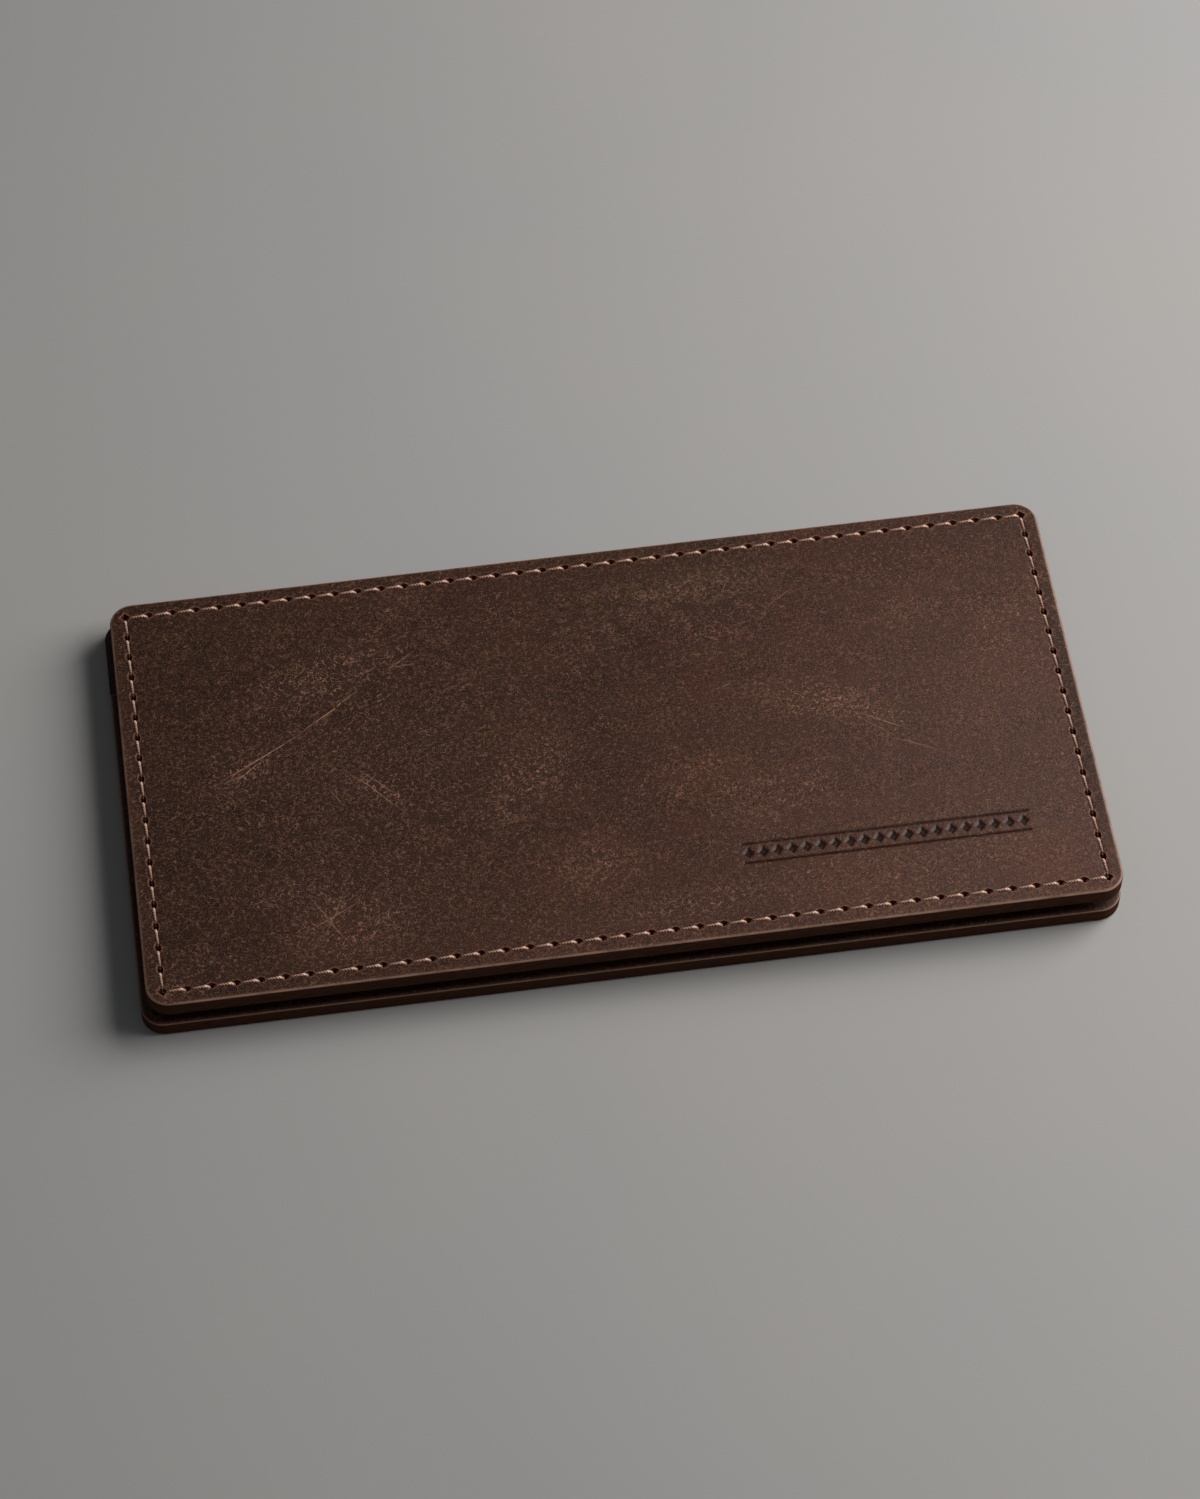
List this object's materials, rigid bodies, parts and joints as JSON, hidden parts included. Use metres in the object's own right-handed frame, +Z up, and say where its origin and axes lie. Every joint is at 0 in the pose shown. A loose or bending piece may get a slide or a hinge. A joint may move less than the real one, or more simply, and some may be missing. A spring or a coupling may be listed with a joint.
{
  "type": "checkbook cover",
  "caption": "Closed two-fold leather cover for a checkbook: two saddle-stitched panels on a recessed spine strip, each with a full-width inner pocket.",
  "frame": {"origin": "centre of the outline of the closed cover, on the surface it lies on", "axes": "+X along the long edges, +Y from the open near edge to the fold, +Z up through the closed cover"},
  "size_m": [0.1674, 0.0834, 0.0089],
  "materials": {
    "face_leather": "waxed, matt to satin, with pull-up marks",
    "pocket_leather": "matt, waxed",
    "lining_leather": "matt, fine nap",
    "spine_leather": "matt, waxed",
    "board": "bonded leather fibre, matt",
    "thread": "waxed thread"
  },
  "bodies": {
    "back_cover": {"back_face_leather": "face_leather", "back_stiffener": "board", "back_lining": "lining_leather", "check_pocket": "pocket_leather", "back_spine_flange": "spine_leather", "back_face_stitching": "thread", "back_inner_stitching": "thread"},
    "spine": {"spine_strip": "spine_leather"},
    "front_cover": {"front_face_leather": "face_leather", "front_stiffener": "board", "front_lining": "lining_leather", "register_pocket": "pocket_leather", "front_spine_flange": "spine_leather", "front_face_stitching": "thread", "front_inner_stitching": "thread"}
  },
  "joints": [
    {"name": "spine_fold", "type": "hinge", "parent": "back_cover", "child": "spine", "pos_m": [0.00065, 0.041, 0.00155], "axis": [-1, 0, 0], "range_deg": [0, 89.4]},
    {"name": "cover_fold", "type": "hinge", "parent": "spine", "child": "front_cover", "pos_m": [0.00065, 0.041, 0.00575], "axis": [-1, 0, 0], "range_deg": [0, 89.4]}
  ],
  "couplings": [
    {"joint": "spine_fold", "follows": "cover_fold", "ratio": 1}
  ]
}
